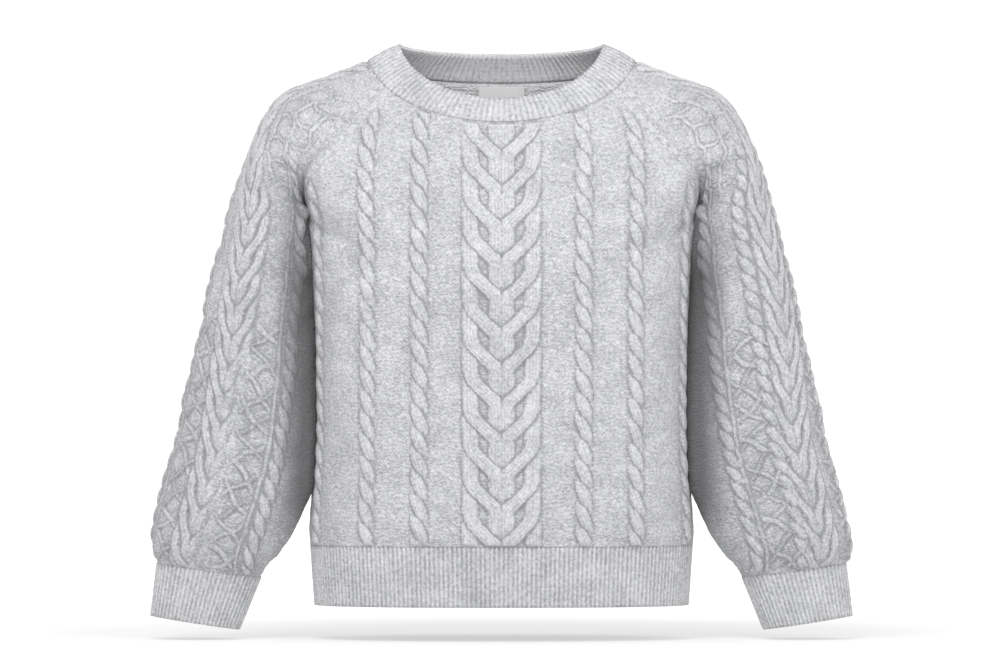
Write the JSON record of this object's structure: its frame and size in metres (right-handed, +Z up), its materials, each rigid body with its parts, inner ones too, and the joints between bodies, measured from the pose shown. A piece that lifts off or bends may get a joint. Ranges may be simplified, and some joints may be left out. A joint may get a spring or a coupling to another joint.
{
  "type": "women's crew-neck cable knit raglan sweater",
  "caption": "Hollow worn-shape cable knit crew-neck sweater: raglan sleeves, wide V cable with rope cables, ribbed neckband, hem and cuffs.",
  "frame": {"origin": "middle of the neck opening, level with the tops of the shoulders, where the wearer's neck and shoulders hold the sweater up", "axes": "+Z up, front of the sweater towards -Y, the wearer's left sleeve towards +X"},
  "size_m": [0.7023, 0.2355, 0.5868],
  "materials": {
    "cable_knit": "light heather grey wool-blend knit, soft and slightly fuzzy",
    "rib_knit": "light heather grey 1 by 1 rib knit",
    "label_tape": "pale grey woven tape, blank"
  },
  "bodies": {
    "root": {"front": "cable_knit", "back": "cable_knit", "right_sleeve": "cable_knit", "left_sleeve": "cable_knit", "neckband": "rib_knit", "front_hem_rib": "rib_knit", "back_hem_rib": "rib_knit", "right_cuff_rib": "rib_knit", "left_cuff_rib": "rib_knit", "neck_label": "label_tape"}
  },
  "joints": []
}
